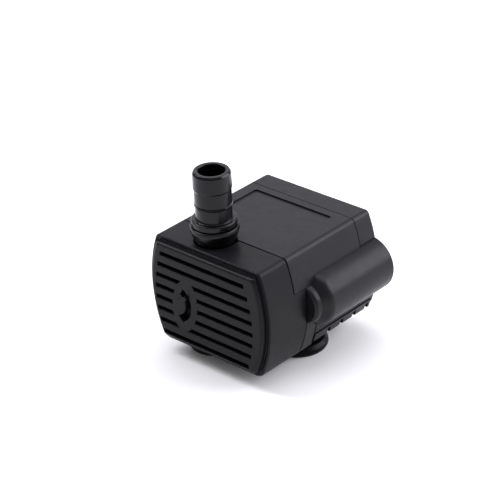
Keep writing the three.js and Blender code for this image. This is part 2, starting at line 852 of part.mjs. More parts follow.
// ----------------------------------------------------------------- assembly
const pump = new THREE.Group();
const footprintCentreX = (barrelX + barrelRadius + bodyCentreX - bodyHalfWidth) / 2;
const rearmostY = bodyDepth + glandProud;
const footprintCentreY = (rearmostY - leverProud) / 2;
pump.position.set(-footprintCentreX, -footprintCentreY, 0);

function place(name, shape, finish) {
  const mesh = new THREE.Mesh(geometryOf(shape), material(finish));
  mesh.name = name;
  pump.add(mesh);
}

place('front_cover', makeFrontCover(), finishes.blackPlastic);
place('flow_regulator', makeFlowRegulator(), finishes.blackPlastic);
place('outlet_nozzle', makeOutletNozzle(), finishes.glossBlack);
place('nozzle_o_ring', makeNozzleRing(), finishes.rubber);
place('volute_cover', makeVoluteCover(), finishes.glossBlack);
place('volute_seal', makeVoluteSeal(), finishes.rubber);
place('impeller', makeImpeller(), finishes.impellerWhite);
place('rotor_magnet', makeRotorMagnet(), finishes.magnet);
place('rotor_shaft', makeShaft(), finishes.ceramic);
place('front_bushing', makeBushing(frontBushingY, frontBushingY + bushingLength), finishes.rubber);
place('rear_bushing', makeBushing(rearBushingY + bushingLength, rearBushingY), finishes.rubber);
place('front_thrust_washer', makeWasher(frontWasherY), finishes.ceramic);
place('rear_thrust_washer', makeWasher(rearWasherY), finishes.ceramic);
place('motor_housing', makeMotorHousing(), finishes.blackPlastic);
place('stator_core', makeStatorCore(), finishes.steel);
place('upper_bobbin', makeBobbin(1), finishes.nylon);
place('lower_bobbin', makeBobbin(-1), finishes.nylon);
place('upper_coil', makeCoil(1), finishes.copper);
place('lower_coil', makeCoil(-1), finishes.copper);
place('potting_resin', makePottingResin(), finishes.resin);
place('rear_cover', makeRearCover(), finishes.blackPlastic);
place('cable_gland', makeCableGland(), finishes.rubber);
place('brown_lead', makeLead(1), finishes.leadBrown);
place('blue_lead', makeLead(-1), finishes.leadBlue);
place('base_tray', makeBaseTray(), finishes.blackPlastic);
for (const [index, [name, x, y]] of footPlaces.entries()) {
  const seatTop = index === 0 ? bottomZ + coverWall : trayBottomZ + trayFloor;
  place(name, makeFoot(x, y, seatTop), finishes.rubber);
}

export default pump;
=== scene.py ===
"""Fountain submersible pump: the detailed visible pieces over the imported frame.

Sizes are millimetres in the pump's own layout: y runs back from the front
panel, z up from the surface it stands on, and x across, with the body's middle
at BODY_CENTRE_X. They are read from the frame's boxes where the frame has them,
and named otherwise. The third number of a profile's corner is its edge radius.
"""

import math

import bmesh
import bpy
from mathutils import Matrix, Vector


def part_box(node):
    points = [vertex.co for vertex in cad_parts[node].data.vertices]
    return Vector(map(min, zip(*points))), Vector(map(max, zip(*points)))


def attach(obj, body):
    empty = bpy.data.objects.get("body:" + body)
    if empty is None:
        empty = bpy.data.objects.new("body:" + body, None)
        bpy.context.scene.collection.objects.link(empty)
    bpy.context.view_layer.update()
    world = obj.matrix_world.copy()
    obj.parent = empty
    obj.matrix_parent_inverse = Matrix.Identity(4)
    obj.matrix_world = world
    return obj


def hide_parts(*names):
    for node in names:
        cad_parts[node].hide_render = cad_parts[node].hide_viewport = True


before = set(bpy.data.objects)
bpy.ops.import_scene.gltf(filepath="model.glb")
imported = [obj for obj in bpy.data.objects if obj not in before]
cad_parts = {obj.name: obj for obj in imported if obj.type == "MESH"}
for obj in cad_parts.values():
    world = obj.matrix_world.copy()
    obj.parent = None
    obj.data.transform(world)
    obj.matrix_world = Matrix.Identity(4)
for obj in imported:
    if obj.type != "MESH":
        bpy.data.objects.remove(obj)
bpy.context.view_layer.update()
scene = bpy.context.scene

# ------------------------------------------------------------ frame readings
MM = 0.001
BODY_CENTRE_X = -0.45


def box_mm(node):
    low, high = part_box(node)
    return [c / MM for c in low], [c / MM for c in high]


cover_low, cover_high = box_mm("front_cover")
MIDDLE_X = (cover_low[0] + cover_high[0]) / 2 - BODY_CENTRE_X
FRONT_Y = cover_low[1]


def layout(point):
    """A point of the shared frame, in millimetres, moved to the pump's own layout."""
    return point[0] - MIDDLE_X, point[1] - FRONT_Y, point[2]


def centre_of(node):
    low, high = box_mm(node)
    return layout([(a + b) / 2 for a, b in zip(low, high)])


def edges_of(node):
    low, high = box_mm(node)
    return layout(low), layout(high)


HALF_WIDTH = (cover_high[0] - cover_low[0]) / 2
BOTTOM_Z, TOP_Z = cover_low[2], cover_high[2]
SKIRT_Y = cover_high[1] - FRONT_Y

axis = centre_of("rotor_magnet")
AXIS_X, AXIS_Z = axis[0], axis[2]
outlet = centre_of("outlet_nozzle")
OUTLET_X, OUTLET_Y = outlet[0], outlet[1]
gland = centre_of("cable_gland")
BARREL_X, BARREL_Z = gland[0], gland[2]
BARREL_R = edges_of("motor_housing")[1][0] - BARREL_X
BODY_Y = edges_of("rear_cover")[1][1]
GLAND_Y = edges_of("cable_gland")[1][1]
TRAY_FRONT, TRAY_REAR = (edge[1] for edge in edges_of("base_tray"))
NOZZLE_LOW, NOZZLE_TOP = (edge[2] for edge in edges_of("outlet_nozzle"))
VOLUTE_REAR = edges_of("volute_cover")[1][1]
SOCKET_TOP = edges_of("volute_cover")[1][2]
IMPELLER_Y = edges_of("impeller")[0][1]
MAGNET_Y0, MAGNET_Y1 = (edge[1] for edge in edges_of("rotor_magnet"))
MAGNET_R = (edges_of("rotor_magnet")[1][0] - edges_of("rotor_magnet")[0][0]) / 2
IMPELLER_R = (edges_of("impeller")[1][0] - edges_of("impeller")[0][0]) / 2

# --------------------------------------------------------- driving dimensions
GAP = 0.3
SLIP = 0.4
RUN_GAP = 0.8
FAR = 200.0
# how far a cutting solid runs past the face that it cuts
OVER = 1.0
HAIR = 0.01
LEAST_CORNER = 0.4
CORNER_GROWTH = 0.35

BOW_DROP = 18.7
BOW_R = 47.5
TOP_EDGE = 2.0
BOTTOM_EDGE = 3.6
BOW_Z = TOP_Z - BOW_DROP

COVER_WALL = 1.6
PANEL_T = 2.2
PANEL_INSET = 1.9
PANEL_EDGE = 1.3
RIM_SETBACK = 1.4
RIM_EDGE = 0.6
GROOVE_FLOOR_Y = 2.6
GROOVE_DRAFT = 0.2
PANEL_CORE = 2.0
THROAT_WALL = 1.5
SLOT_REACH = 3.4
# the level slit where the side seam steps back
JOG_SLIT = 0.1
SEAM_TOP_Y = 14.6
SEAM_DROP = 12.4
EDGE_R = 0.28
SEAM_GAP = 0.2
SEAM_EDGE = 0.12

SLOT_ROWS = 8
SLOT_FIRST_DROP = 5.7
SLOT_PITCH = 4.3
SLOT_HEIGHT = 1.65
SLOT_CENTRE_X = -1.7
SLOT_FIELD_HALF = 21.7
SLOT_FIELD_DROP = 21.5
SLOT_FIELD_R = 42.0
SLOT_LIP = 0.22
SLOT_CORNER = 0.4
SLOT_LEVELS = (0, 0.02, 0.07, 0.15, 0.25, 0.5, 0.75, 0.85, 0.93, 0.98, 1)

PAD_X = -10.2
PAD_DROP = 22.6
PAD_HALF_WIDTH = 5.6
PAD_HALF_HEIGHT = 10.2
PAD_TILT = -0.13
PAD_Z = TOP_Z - PAD_DROP

ARC_INNER = 4.75
ARC_OUTER = 7.35
ARC_TOP = math.radians(57)
ARC_BOTTOM_OUTER = math.radians(-65)
ARC_BOTTOM_INNER = math.radians(-76)
LEVER_ANGLE = math.radians(32)
LEVER_WIDTH = 1.5
LEVER_PROUD = 1.0
LEVER_ROOT = 2.4
LEVER_CORNER = 0.4
REGULATOR_R = 6.9
REGULATOR_T = 1.4
PIVOT_R = 1.3
PIVOT_ROOT = 0.5
DIAL_WINDOW_START = math.radians(100)
DIAL_WINDOW_END = math.radians(250)
DIAL_WINDOW_RIM = 1.5

CHAMBER_R = 7.9
CHAMBER_WALL = 1.3
CHAMBER_Y = 6.8
EYE_R = 5.2
COLLAR_WALL = 1.0
COLLAR_SINK = 0.8
EYE_OVER = 0.5
HUB_WALL = 0.8
HUB_PROUD = 1.2
RIB_COUNT = 3
RIB_START = 90
RIB_ROOT = 1.0
RIB_HALF = 0.6
RIB_SINK = 0.5
RIB_PROUD = 0.8
SEAT_FRONT = 0.6
SEAT_OVER = 2.0
SEAL_SQUEEZE = 0.98
BUSHING_R = 2.3
BUSHING_LENGTH = 3.6
SHAFT_R = 1.0
WELL_WALL = 1.0

VANES = 6
VANE_LENGTH = 4.6
VANE_HALF = 0.45
VANE_ROOT = 2.2
VANE_TIP_GAP = 0.2
VANE_FRONT = 0.4
VANE_SINK = 0.5
CONE_R0 = 2.6
CONE_R1 = 3.0
CONE_SHORT = 1.2
PLATE_T = 1.0
SLEEVE_R = 3.6
SLEEVE_STEP = 0.4

TAIL_R = 6.5
TAIL_NECK = 6.15
TAIL_BORE = 4.5
RIDGES = (8.1, 13.4, 19.3)
RIDGE_RISE = 0.55
RIDGE_FALL = 0.6
UPPER_NECK = TAIL_NECK + 0.1
UPPER_RISE = 0.5
LIP_DRAFT = 0.1
LIP_DROP = 0.8
LIP_TAPER = 0.6
FLANGE_R = 7.7
FLANGE_TOP = 8.1
FLANGE_BOTTOM = 6.0
SOCKET_R = 8.3
SOCKET_NECK = 7.0
SOCKET_LIP = 1.3
SOCKET_DRAFT = 0.2
BEVEL_DEPTH = 0.3
BEVEL = 0.35
RISER_FOOT = 3.0
RISER_STEP = 0.6
SPIGOT_R = 5.9
RING_T = 0.6
RING_GROOVE = 0.75
RING_RISE = 1.6

HOUSING_WALL = 1.8
HOUSING_FLOOR = 1.2
FRONT_WALL_Y = SKIRT_Y + GAP
FRONT_WALL = 2.0
REAR_SEAM_Y = 49.2
REAR_WALL = 2.0
REAR_CORE = 1.0
RECESS = (-18.1, 15.9, 20.5, 46.1)
RECESS_DEPTH = 0.5
BAND_REAR_Y = TRAY_FRONT - GAP
BAND_GROOVE_TOP = 15.0
GROOVE_DEPTH = 0.5
GROOVE_WIDTH = 0.6
BARREL_WALL = 1.8
BARREL_NOSE = 7.3
BARREL_FRONT_Y = 20.4
BARREL_NOSE_LENGTH = 4.8
BARREL_EDGE = 1.04
NOSE_DRAFT = 0.1
NOSE_STEP = 2.6
NOSE_OVER = 0.3
BORE_NOSE = 1.5
BORE_SHOULDER = 1.0
GLAND_HOLE = 5.0
CABLE_R = 2.2
GLAND_R = 4.2
GLAND_COLLAR = 1.2
BOOT_TAPER = 0.5
BOOT_SHOULDER = 0.4
BOOT_END = 1.2

TRAY_TOP_Z = TOP_Z - 33.4
TRAY_BOTTOM_Z = TOP_Z - 36.6
TRAY_FLOOR = 1.4
TRAY_PROUD = 0.3
TRAY_WALL = 1.3
NOTCH_PITCH = 6.7
NOTCH_WIDTH = 1.6
NOTCH_HEIGHT = 2.3
NOTCH_DEPTH = 0.7

FOOT_NECK = 2.7
FOOT_BOSS = 5.2
BOSS_FLARE = 0.6
BOSS_SINK = 0.5
CUP_HEIGHT = 2.6
CUP_R = 5.0
CUP_SHOULDER = 2.2
RIM_INNER = 1.7
RIM_OUTER = 0.5
RIM_LOW = 1.0
RIM_HIGH = 2.0
WAIST_INSET = 1.2
WAIST_Z = 3.4
SEAT_STEP = 0.2


# ------------------------------------------------------------- outline tools
def arc(cx, cy, radius, start, end, steps):
    turns = [start + (end - start) * i / steps for i in range(steps + 1)]
    return [(cx + radius * math.cos(t), cy + radius * math.sin(t)) for t in turns]


def section(inset, corner_steps=7, wall_steps=30):
    """The bowed body outline (x, z) moved inwards by inset."""
    wall_x = HALF_WIDTH - BOW_R
    wall_r = BOW_R - inset

    def corner(edge, level, side):
        radius = max(edge - inset, LEAST_CORNER + CORNER_GROWTH * max(inset, 0))
        z = level - side * (inset + radius)
        x = wall_x + math.sqrt((wall_r - radius) ** 2 - (z - BOW_Z) ** 2)
        return x, z, radius, math.atan2(z - BOW_Z, x - wall_x)

    low = corner(BOTTOM_EDGE, BOTTOM_Z, -1)
    high = corner(TOP_EDGE, TOP_Z, 1)
    right = arc(*low[:3], -math.pi / 2, low[3], corner_steps)
    right += arc(wall_x, BOW_Z, wall_r, low[3], high[3], wall_steps)[1:-1]
    right += arc(*high[:3], high[3], math.pi / 2, corner_steps)
    left = [(-x, z) for x, z in reversed(right)]
    return [(x + BODY_CENTRE_X, z) for x, z in right + left]


def rounded(corners, closed=False, steps=5):
    """A line through (u, v) or (u, v, radius) corners, with the radii as arcs."""
    count = len(corners)
    line = []
    for i, item in enumerate(corners):
        here = Vector(item[:2])
        radius = item[2] if len(item) > 2 else 0
        if radius <= 0 or (not closed and i in (0, count - 1)):
            line.append(tuple(here))
            continue
        to_last = Vector(corners[i - 1][:2]) - here
        to_next = Vector(corners[(i + 1) % count][:2]) - here
        half = to_last.angle(to_next) / 2
        reach = min(radius / math.tan(half), 0.49 * to_last.length, 0.49 * to_next.length)
        radius = reach * math.tan(half)
        middle = (to_last.normalized() + to_next.normalized()).normalized()
        hub = here + middle * (radius / math.sin(half))
        first = here + to_last.normalized() * reach - hub
        last = here + to_next.normalized() * reach - hub
        start = math.atan2(first.y, first.x)
        sweep = math.atan2(last.y, last.x) - start
        sweep = (sweep + math.pi) % (2 * math.pi) - math.pi
        line += arc(hub.x, hub.y, radius, start, start + sweep, steps)
    return line


# ---------------------------------------------------------------- mesh tools
def mesh_object(name, points, faces):
    """A mesh from layout points in millimetres; a closed one faces outward."""
    mesh = bpy.data.meshes.new(name)
    place = [((x + MIDDLE_X) * MM, (y + FRONT_Y) * MM, z * MM) for x, y, z in points]
    mesh.from_pydata(place, [], faces)
    bm = bmesh.new()
    bm.from_mesh(mesh)
    bmesh.ops.recalc_face_normals(bm, faces=bm.faces)
    bm.to_mesh(mesh)
    bm.free()
    obj = bpy.data.objects.new(name, mesh)
    scene.collection.objects.link(obj)
    return obj


def loft(name, rings, ring_closed=False):
    """Quads between rings of equal length. The ends are capped, or joined."""
    size = len(rings[0])
    points = [p for ring in rings for p in ring]
    faces = []
    spans = len(rings) if ring_closed else len(rings) - 1
    for r in range(spans):
        a, b = r * size, ((r + 1) % len(rings)) * size
        for i in range(size):
            j = (i + 1) % size
            faces.append((a + i, a + j, b + j, b + i))
    if not ring_closed:
        faces.append(tuple(range(size)))
        faces.append(tuple(range((len(rings) - 1) * size, len(rings) * size)))
    return mesh_object(name, points, faces)


def at_y(outline, y):
    return [(x, y, z) for x, z in outline]


def body_loft(name, profile, ring_closed=False):
    """Rings of the body outline; profile lists (inset, y)."""
    return loft(name, [at_y(section(i), y) for i, y in profile], ring_closed)


def prism(outline, y0, y1):
    return loft("tool", [at_y(outline, y0), at_y(outline, y1)])


def block(x0, x1, y0, y1, z0, z1):
    return prism([(x0, z0), (x1, z0), (x1, z1), (x0, z1)], y0, y1)


def turned(name, profile, centre, direction, segments=72):
    """A turned solid; profile lists (radius, height) along the axis."""
    points, rings = [], []
    for radius, height in profile:
        count = segments if radius > 1e-6 else 1
        rings.append((len(points), count))
        for i in range(count):
            t = 2 * math.pi * i / segments
            u, v = centre[0] + radius * math.cos(t), centre[1] + radius * math.sin(t)
            points.append((u, v, height) if direction == "z" else (u, height, v))
    solid_ends = rings[0][1] == 1 and rings[-1][1] == 1
    pairs = list(zip(rings, rings[1:]))
    if not solid_ends:
        pairs.append((rings[-1], rings[0]))
    faces = []
    for (a, many_a), (b, many_b) in pairs:
        for i in range(segments):
            j = (i + 1) % segments
            if many_a == 1 and many_b == 1:
                continue
            if many_a == 1:
                faces.append((a, b + j, b + i))
            elif many_b == 1:
                faces.append((a + i, a + j, b))
            else:
                faces.append((a + i, a + j, b + j, b + i))
    return mesh_object(name, points, faces)


def rod(radius, centre, start, end, direction, segments=72):
    profile = [(0, start), (radius, start), (radius, end), (0, end)]
    return turned("tool", profile, centre, direction, segments)


def ring_line(radius, level, thickness, steps=16):
    return arc(radius, level, thickness / 2, 0, 2 * math.pi, steps)[:-1]


def combine(target, tool, operation):
    """Boolean of two closed meshes; the tool is used up."""
    modifier = target.modifiers.new("combine", "BOOLEAN")
    modifier.operation = operation
    modifier.solver = "MANIFOLD"
    modifier.object = tool
    graph = bpy.context.evaluated_depsgraph_get()
    made = bpy.data.meshes.new_from_object(target.evaluated_get(graph))
    target.modifiers.clear()
    target.data = made
    bpy.data.objects.remove(tool)
    return target


def cut(target, *tools):
    for tool in tools:
        combine(target, tool, "DIFFERENCE")
    return target


def join(target, *tools):
    for tool in tools:
        combine(target, tool, "UNION")
    return target


def keep(target, tool):
    return combine(target, tool, "INTERSECT")


def rim_cut(y, side, radius=EDGE_R, steps=4):
    """A ring that rounds the body's outer edge at the plane y; side is the
    direction, along y, of the free face."""
    line = [
        (radius - radius * math.sin(t), y - side * radius * (1 - math.cos(t)))
        for t in [math.pi / 2 * i / steps for i in range(steps + 1)]
    ]
    over = 0.6
    last = line[-1]
    line += [(-over, last[1]), (-over, y + side * over), (radius, y + side * over)]
    return body_loft("tool", line, ring_closed=True)


# -------------------------------------------------------------- front cover
def pad_x(z, side, grow):
    """Edge of the plain oval round the regulator at the level z."""
    drop = z - PAD_Z
    share = max(1 - (drop / (PAD_HALF_HEIGHT - grow)) ** 2, 0)
    return PAD_X - PAD_TILT * drop + side * (PAD_HALF_WIDTH - grow) * math.sqrt(share)


def plain_x(z, z0, z1, edge, side, grow):
    """A slot's own end, with its corners rounded."""
    corner = SLOT_CORNER + grow
    into = max(corner - (z - z0), corner - (z1 - z), 0)
    back = corner - math.sqrt(max(corner ** 2 - into ** 2, 0))
    return edge + side * (grow - back)


def slot_outline(z, half, left_pad, right_pad, grow):
    z0, z1 = z - SLOT_HEIGHT / 2 - grow, z + SLOT_HEIGHT / 2 + grow
    heights = [z0 + (z1 - z0) * share for share in SLOT_LEVELS]
    right, left = [], []
    for h in heights:
        if right_pad:
            right.append((pad_x(h, -1, grow), h))
        else:
            right.append((plain_x(h, z0, z1, SLOT_CENTRE_X + half, 1, grow), h))
        if left_pad:
            left.append((pad_x(h, 1, grow), h))
        else:
            left.append((plain_x(h, z0, z1, SLOT_CENTRE_X - half, -1, grow), h))
    return right + left[::-1]


def lipped(outline_of, depth):
    """A cutter whose mouth opens out, so that the hole's front edge is round."""
    steps = 4
    rings = [at_y(outline_of(SLOT_LIP), -OVER)]
    for i in range(steps + 1):
        t = math.pi / 2 * i / steps
        grow, y = SLOT_LIP * (1 - math.sin(t)), SLOT_LIP * (1 - math.cos(t))
        rings.append(at_y(outline_of(grow), y))
    rings.append(at_y(outline_of(0), depth))
    return loft("tool", rings)


def slot_tools():
    tools = []
    for row in range(SLOT_ROWS):
        drop = SLOT_FIRST_DROP + row * SLOT_PITCH
        half = SLOT_FIELD_HALF - (drop - SLOT_FIELD_DROP) ** 2 / (2 * SLOT_FIELD_R)
        z = TOP_Z - drop
        split = abs(z - PAD_Z) + SLOT_HEIGHT / 2 + SLOT_LIP < PAD_HALF_HEIGHT - SLOT_LIP
        sides = [(False, True), (True, False)] if split else [(False, False)]
        for left_pad, right_pad in sides:
            def outline(grow, z=z, half=half, lp=left_pad, rp=right_pad):
                return slot_outline(z, half, lp, rp, grow)

            tools.append(lipped(outline, SLOT_REACH))
    return tools


def arc_outline(grow):
    outer, inner = ARC_OUTER + grow, ARC_INNER - grow
    line = arc(AXIS_X, AXIS_Z, outer, ARC_BOTTOM_OUTER - grow / outer, ARC_TOP + grow / outer, 28)
    line += arc(AXIS_X, AXIS_Z, inner, ARC_TOP + grow / inner, ARC_BOTTOM_INNER - grow / inner, 24)
    return line


def outlet_room(clearance):
    """The cover's notch for the outlet boss, open to the rear."""
    reach = SOCKET_NECK + clearance
    floor = TOP_Z - SEAM_DROP
    hole = rod(reach, (OUTLET_X, OUTLET_Y), floor, TOP_Z + OVER, "z", 96)
    back = block(OUTLET_X - reach, OUTLET_X + reach, OUTLET_Y, SKIRT_Y, floor, TOP_Z + OVER)
    return hole, back


def make_front_cover():
    room_y = GROOVE_FLOOR_Y + COVER_WALL
    throat = PANEL_INSET + THROAT_WALL
    profile = rounded([
        (PANEL_INSET + PANEL_CORE, 0),
        (PANEL_INSET, 0, PANEL_EDGE),
        (PANEL_INSET - GROOVE_DRAFT, GROOVE_FLOOR_Y, 0.3),
        (0, RIM_SETBACK, RIM_EDGE),
        (0, SKIRT_Y, EDGE_R),
        (COVER_WALL, SKIRT_Y, 0.2),
        (COVER_WALL, room_y, 0.5),
        (throat, room_y, 0.3),
        (throat, PANEL_T),
    ])
    cover = body_loft("front_cover_shell", profile)
    seam_z = TOP_Z - SEAM_DROP + GAP - JOG_SLIT
    rim = keep(rim_cut(SEAM_TOP_Y, 1), block(-FAR, FAR, 0, FAR, seam_z, FAR))
    cut(cover, block(-FAR, FAR, SEAM_TOP_Y, FAR, seam_z, FAR), rim)
    cut(cover, *slot_tools())
    cut(cover, lipped(arc_outline, SLOT_REACH))
    pin_end = PANEL_T + SLIP + REGULATOR_T + GAP
    root = PANEL_T - PIVOT_ROOT
    pin = rounded([(0, root), (PIVOT_R, root), (PIVOT_R, pin_end, 0.3), (0, pin_end)])
    join(cover, turned("tool", pin, (AXIS_X, AXIS_Z), "y", 48))
    cut(cover, *outlet_room(SLIP))
    foot_x, foot_y, _ = centre_of("foot_front_left")
    cut(cover, rod(FOOT_NECK + GAP, (foot_x, foot_y), 0, BOTTOM_Z + COVER_WALL + OVER, "z", 48))
    return cover


# ----------------------------------------------------------- flow regulator
def spoke(turn, r0, r1, half_width):
    """The corners of a bar that runs out from the pump's axis, from r0 to r1."""
    along = Vector((math.cos(turn), math.sin(turn)))
    across = Vector((-along.y, along.x)) * half_width
    hub = Vector((AXIS_X, AXIS_Z))
    return [hub + along * r0 - across, hub + along * r1 - across,
            hub + along * r1 + across, hub + along * r0 + across]


def lever_block(r0, r1, y0, y1):
    """A rounded bar on the regulator, from the radius r0 to r1."""
    ends = spoke(LEVER_ANGLE, r0, r1, LEVER_WIDTH / 2)
    outline = rounded([(*p, LEVER_CORNER) for p in ends], closed=True, steps=4)
    return prism(outline, y0, y1)


def make_regulator():
    y0 = PANEL_T + SLIP
    y1 = y0 + REGULATOR_T
    bore = PIVOT_R + GAP
    disc = turned("regulator_dial", rounded([
        (bore, y0), (REGULATOR_R, y0, 0.25), (REGULATOR_R, y1, 0.25), (bore, y1),
    ]), (AXIS_X, AXIS_Z), "y", 96)
    window = arc(AXIS_X, AXIS_Z, EYE_R, DIAL_WINDOW_START, DIAL_WINDOW_END, 28)
    rim_r = PIVOT_R + DIAL_WINDOW_RIM
    window += arc(AXIS_X, AXIS_Z, rim_r, DIAL_WINDOW_END, DIAL_WINDOW_START, 20)
    cut(disc, prism(window, 0, FAR))
    reach = ARC_OUTER - SLIP
    join(disc, lever_block(ARC_INNER + SLIP, reach, -LEVER_PROUD, y0 + GAP))
    return join(disc, lever_block(LEVER_ROOT, reach, -LEVER_PROUD, -GAP))


# ------------------------------------------------------------ outlet nozzle
def make_nozzle():
    low, middle, high = (TOP_Z + r for r in RIDGES)
    ring = NOZZLE_LOW + RING_RISE
    half = RING_T / 2 + GAP
    floor = SPIGOT_R - RING_GROOVE
    profile = rounded([
        (TAIL_BORE, NOZZLE_LOW, 0.3),
        (SPIGOT_R, NOZZLE_LOW, 0.3),
        (SPIGOT_R, ring - half),
        (floor, ring - half),
        (floor, ring + half),
        (SPIGOT_R, ring + half),
        (SPIGOT_R, TOP_Z + FLANGE_BOTTOM, 0.15),
        (FLANGE_R, TOP_Z + FLANGE_BOTTOM, 0.3),
        (FLANGE_R, TOP_Z + FLANGE_TOP, 0.5),
        (TAIL_NECK, low, 0.35),
        (TAIL_NECK, middle - RIDGE_RISE, 0.25),
        (TAIL_R, middle, 0.2),
        (UPPER_NECK, middle + RIDGE_FALL, 0.3),
        (UPPER_NECK, high - UPPER_RISE, 0.25),
        (TAIL_R, high, 0.2),
        (TAIL_R - LIP_DRAFT, NOZZLE_TOP - LIP_DROP, 0.5),
        (TAIL_R - LIP_TAPER, NOZZLE_TOP, 0.35),
        (TAIL_BORE, NOZZLE_TOP, 0.4),
    ], closed=True)
    return turned("hose_tail", profile, (OUTLET_X, OUTLET_Y), "z", 128)


def make_nozzle_ring():
    radius = SPIGOT_R + (GAP - RING_GROOVE) / 2
    line = ring_line(radius, NOZZLE_LOW + RING_RISE, RING_T)
    return turned("nozzle_seal_ring", line, (OUTLET_X, OUTLET_Y), "z", 96)


# ------------------------------------------------------------ volute cover
def make_volute():
    centre = (AXIS_X, AXIS_Z)
    spot = (OUTLET_X, OUTLET_Y)
    drum_r = CHAMBER_R + CHAMBER_WALL
    drum = turned("volute_shell", rounded([
        (0, CHAMBER_Y), (drum_r, CHAMBER_Y, 0.6), (drum_r, VOLUTE_REAR, 0.2), (0, VOLUTE_REAR),
    ]), centre, "y", 96)
    riser = turned("tool", rounded([
        (0, AXIS_Z - RISER_FOOT),
        (SOCKET_NECK - RISER_STEP, AXIS_Z - RISER_FOOT, 0.4),
        (SOCKET_NECK, AXIS_Z, 1),
        (SOCKET_NECK, TOP_Z, 1.5),
        (SOCKET_R, SOCKET_TOP - SOCKET_LIP, 0.8),
        (SOCKET_R - SOCKET_DRAFT, SOCKET_TOP, 0.35),
        (0, SOCKET_TOP),
    ]), spot, "z", 128)
    collar_y = PANEL_T + REGULATOR_T + 2 * SLIP
    collar = turned("tool", rounded([
        (0, collar_y), (EYE_R + COLLAR_WALL, collar_y, 0.3),
        (EYE_R + COLLAR_WALL, CHAMBER_Y + COLLAR_SINK), (0, CHAMBER_Y + COLLAR_SINK),
    ]), centre, "y", 96)
    join(drum, riser, collar)
    socket_floor = NOZZLE_LOW - GAP
    fit_r = SPIGOT_R + GAP
    cut(
        drum,
        rod(CHAMBER_R, centre, CHAMBER_Y + CHAMBER_WALL, FAR, "y", 96),
        rod(TAIL_BORE, spot, AXIS_Z, FAR, "z", 72),
        turned("tool", rounded([
            (0, socket_floor), (fit_r, socket_floor),
            (fit_r, SOCKET_TOP - BEVEL_DEPTH), (fit_r + BEVEL, SOCKET_TOP),
            (fit_r + BEVEL, SOCKET_TOP + OVER), (0, SOCKET_TOP + OVER),
        ]), spot, "z", 96),
        rod(EYE_R, centre, 0, CHAMBER_Y + CHAMBER_WALL + EYE_OVER, "y", 72),
    )
    wall_y = CHAMBER_Y + CHAMBER_WALL
    hub = rod(BUSHING_R + GAP + HUB_WALL, centre, CHAMBER_Y - HUB_PROUD, wall_y, "y", 48)
    for i in range(RIB_COUNT):
        turn = math.radians(RIB_START + 360 / RIB_COUNT * i)
        outline = spoke(turn, RIB_ROOT, EYE_R + RIB_SINK, RIB_HALF)
        join(hub, prism(outline, CHAMBER_Y - RIB_PROUD, wall_y))
    join(drum, hub)
    seat_end = CHAMBER_Y + BUSHING_LENGTH + SEAT_OVER
    return cut(drum, rod(BUSHING_R + GAP, centre, CHAMBER_Y - SEAT_FRONT, seat_end, "y", 48))


def make_volute_ring():
    y0, y1 = (edge[1] for edge in edges_of("volute_seal"))
    line = ring_line(CHAMBER_R + CHAMBER_WALL / 2, (y0 + y1) / 2, (y1 - y0) * SEAL_SQUEEZE)
    return turned("volute_seal_ring", line, (AXIS_X, AXIS_Z), "y", 96)


# -------------------------------------------------------------------- rotor
def make_impeller():
    bore = SHAFT_R + GAP
    plate_y = IMPELLER_Y + VANE_LENGTH
    wheel = turned("impeller_wheel", rounded([
        (bore, IMPELLER_Y),
        (CONE_R0, IMPELLER_Y, 0.3),
        (CONE_R1, plate_y - CONE_SHORT, 0.6),
        (IMPELLER_R, plate_y - PLATE_T, 0.25),
        (IMPELLER_R, plate_y, 0.25),
        (SLEEVE_R, plate_y + SLEEVE_STEP, 0.2),
        (SLEEVE_R, MAGNET_Y0 - GAP, 0.2),
        (bore, MAGNET_Y0 - GAP),
    ], closed=True), (AXIS_X, AXIS_Z), "y", 96)
    for i in range(VANES):
        ends = spoke(2 * math.pi * i / VANES, VANE_ROOT, IMPELLER_R - VANE_TIP_GAP, VANE_HALF)
        outline = rounded([(*p, 0.3) for p in ends], closed=True, steps=3)
        join(wheel, prism(outline, IMPELLER_Y + VANE_FRONT, plate_y - VANE_SINK))
    return wheel


def make_magnet():
    inner = SHAFT_R + GAP
    return turned("magnet_core", rounded([
        (inner, MAGNET_Y0, 0.15),
        (MAGNET_R, MAGNET_Y0, 0.5),
        (MAGNET_R, MAGNET_Y1, 0.5),
        (inner, MAGNET_Y1, 0.15),
    ], closed=True), (AXIS_X, AXIS_Z), "y", 96)


# ------------------------------------------------------------ motor housing
def below_tray(z_top, inset, y0, y1):
    """The space round a body outline, under the level z_top."""
    ring = cut(prism(section(-OVER), y0, y1), prism(section(inset), y0 - OVER, y1 + OVER))
    return keep(ring, block(-FAR, FAR, y0 - 2 * OVER, y1 + 2 * OVER, -FAR, z_top))


